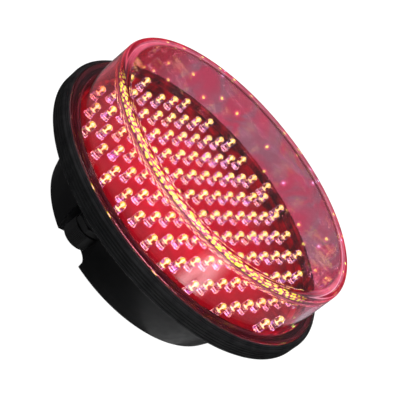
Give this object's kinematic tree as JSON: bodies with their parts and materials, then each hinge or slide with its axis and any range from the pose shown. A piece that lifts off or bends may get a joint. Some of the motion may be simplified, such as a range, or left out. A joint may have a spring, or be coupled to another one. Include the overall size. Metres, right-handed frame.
{
  "type": "led traffic signal lamp module",
  "caption": "Round red LED traffic signal module: clear red cap over a field of LEDs, black rubber gasket and a conical back with a cable gland.",
  "frame": {"origin": "centre of the flat back, on the surface that the module rests on when it lies face up", "axes": "+Z along the optical axis, out of the lens; -Y towards the cable gland"},
  "size_m": [0.2164, 0.2164, 0.091],
  "materials": {
    "black_plastic": "moulded polycarbonate, satin",
    "black_rubber": "moulded EPDM rubber, dull",
    "red_lens": "clear red-tinted polycarbonate, polished",
    "clear_epoxy": "clear epoxy, polished",
    "board_red": "red solder mask, satin",
    "board_green": "solder mask, satin",
    "black_nylon": "moulded nylon, satin",
    "steel": "zinc plated",
    "ferrite": "sintered ferrite, dull",
    "winding_tape": "polyester tape",
    "capacitor_sleeve": "PVC sleeve",
    "film_yellow": "epoxy case",
    "varistor_blue": "epoxy coating",
    "fuse_glass": "clear glass tube",
    "aluminium": "extruded, mill finish",
    "terminal_green": "moulded nylon",
    "wire_red": "PVC insulation",
    "wire_black": "PVC insulation"
  },
  "bodies": {
    "module": {"rear_housing": "black_plastic", "gland_pocket": "black_plastic", "rim_frame": "black_plastic", "mounting_gasket": "black_rubber", "lens": "red_lens", "lens_seal": "black_rubber", "led_board": "board_red", "retaining_ring": "black_nylon", "led_row_01": "clear_epoxy", "led_row_02": "clear_epoxy", "led_row_03": "clear_epoxy", "led_row_04": "clear_epoxy", "led_row_05": "clear_epoxy", "led_row_06": "clear_epoxy", "led_row_07": "clear_epoxy", "led_row_08": "clear_epoxy", "led_row_09": "clear_epoxy", "led_row_10": "clear_epoxy", "led_row_11": "clear_epoxy", "led_pair_right": "clear_epoxy", "led_pair_top": "clear_epoxy", "led_pair_left": "clear_epoxy", "led_pair_bottom": "clear_epoxy", "board_post_1": "black_nylon", "board_post_2": "black_nylon", "board_post_3": "black_nylon", "board_post_4": "black_nylon", "driver_board": "board_green", "driver_screw_1": "steel", "driver_screw_2": "steel", "driver_screw_3": "steel", "driver_screw_4": "steel", "transformer_core": "ferrite", "transformer_winding": "winding_tape", "bulk_capacitor_1": "capacitor_sleeve", "bulk_capacitor_2": "capacitor_sleeve", "film_capacitor": "film_yellow", "varistor": "varistor_blue", "fuse": "fuse_glass", "heat_sink": "aluminium", "power_transistor": "black_nylon", "terminal_block": "terminal_green", "supply_lead_1": "wire_red", "supply_lead_2": "wire_black", "led_lead_1": "wire_red", "led_lead_2": "wire_black", "gland_body": "black_nylon", "gland_washer": "black_rubber", "gland_seal": "black_rubber"},
    "gland_thrust_ring": {"gland_slip_ring": "black_nylon"},
    "gland_nut": {"gland_nut": "black_nylon"}
  },
  "joints": [
    {"name": "gland_ring_slide", "type": "slide", "parent": "module", "child": "gland_thrust_ring", "axis": [0, 0, -1], "range_m": [0, 0.0045]},
    {"name": "gland_nut_turn", "type": "hinge", "parent": "gland_thrust_ring", "child": "gland_nut", "pos_m": [0, -0.076, 0.0165], "axis": [0, 0, -1], "range_deg": [0, 1080]}
  ],
  "couplings": [
    {"joint": "gland_nut_turn", "follows": "gland_ring_slide", "rad_per_m": 4188.8}
  ]
}
